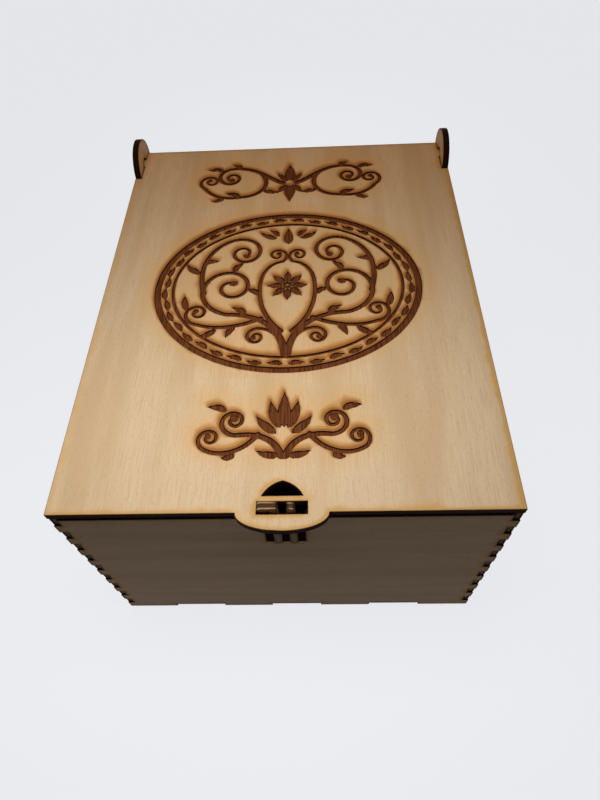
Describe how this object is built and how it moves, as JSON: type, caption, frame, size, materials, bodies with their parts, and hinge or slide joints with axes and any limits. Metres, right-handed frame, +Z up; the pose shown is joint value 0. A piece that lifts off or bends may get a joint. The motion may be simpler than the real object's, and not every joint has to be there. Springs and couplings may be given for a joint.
{
  "type": "keepsake box",
  "caption": "Finger-jointed plywood box with a flat lid that turns on pins in round ears, a thumb tab, and a springy hook latch that reaches up through a slot in the lid.",
  "frame": {"origin": "on the surface the box stands on, under the middle of its bounding box", "axes": "+Z up, -Y out of the front wall with the latch, +X to the right as seen from the front"},
  "size_m": [0.164, 0.2246, 0.1208],
  "materials": {
    "plywood": "bare, with charred laser-cut edges"
  },
  "bodies": {
    "carcass": {"front_panel": "plywood", "back_panel": "plywood", "left_panel": "plywood", "right_panel": "plywood", "bottom_panel": "plywood"},
    "lid": {"lid_panel": "plywood"},
    "hook": {"latch_hook": "plywood"},
    "prong": {"latch_prong": "plywood"}
  },
  "joints": [
    {"name": "lid_hinge", "type": "hinge", "parent": "carcass", "child": "lid", "pos_m": [0, 0.099, 0.1075], "axis": [-1, 0, 0], "range_deg": [0, 170]},
    {"name": "hook_flex", "type": "hinge", "parent": "carcass", "child": "hook", "pos_m": [-0.00295, -0.1042, 0.0832], "axis": [0, 1, 0], "range_deg": [-1.8, 2], "stiffness_Nm_per_rad": 2},
    {"name": "prong_flex", "type": "hinge", "parent": "carcass", "child": "prong", "pos_m": [0.00295, -0.1042, 0.0832], "axis": [0, 1, 0], "range_deg": [-1, 1], "stiffness_Nm_per_rad": 2}
  ]
}
